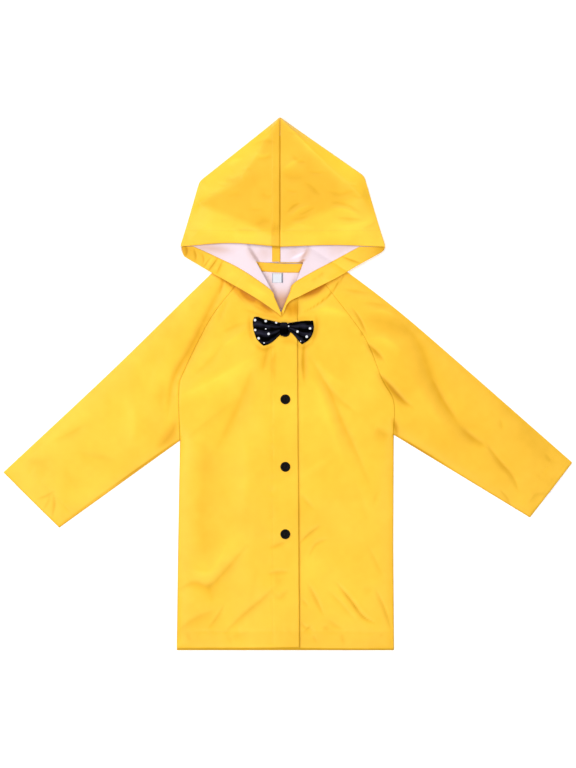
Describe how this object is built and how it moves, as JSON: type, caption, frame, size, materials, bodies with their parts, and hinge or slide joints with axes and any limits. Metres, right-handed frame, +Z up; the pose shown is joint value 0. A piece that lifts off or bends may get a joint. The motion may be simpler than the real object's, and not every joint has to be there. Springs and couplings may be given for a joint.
{
  "type": "kids raincoat",
  "caption": "Child's yellow hooded raincoat laid flat, front up, with raglan sleeves, a snap front placket, a pale inner side and a dotted navy bow at the neck.",
  "frame": {"origin": "middle of the coat's outline, on the surface that it lies on", "axes": "+Y from the hem to the hood, +X to the coat's own left sleeve, +Z up from the back to the front"},
  "size_m": [0.8548, 0.8002, 0.0165],
  "materials": {
    "coated_cloth": "smooth waterproof coated cloth with a soft sheen, pale pinkish white on its inner side",
    "seam_tape": "yellow woven binding tape",
    "label": "white woven label, left bare",
    "snap_plastic": "black moulded plastic",
    "bow_cloth": "navy satin weave with small white dots"
  },
  "bodies": {
    "root": {"back_panel": "coated_cloth", "front_left": "coated_cloth", "front_right_lap": "coated_cloth", "sleeve_right": "coated_cloth", "sleeve_left": "coated_cloth", "hood_right": "coated_cloth", "hood_left": "coated_cloth", "hood_hem_right": "coated_cloth", "hood_hem_left": "coated_cloth", "neck_tape": "seam_tape", "hood_seam_tape": "seam_tape", "size_label": "label", "bow_wing_right": "bow_cloth", "bow_wing_left": "bow_cloth", "bow_knot": "bow_cloth", "snap_cap_1": "snap_plastic", "snap_stud_1": "snap_plastic", "snap_cap_2": "snap_plastic", "snap_stud_2": "snap_plastic", "snap_cap_3": "snap_plastic", "snap_stud_3": "snap_plastic", "snap_cap_4": "snap_plastic", "snap_stud_4": "snap_plastic"}
  },
  "joints": []
}
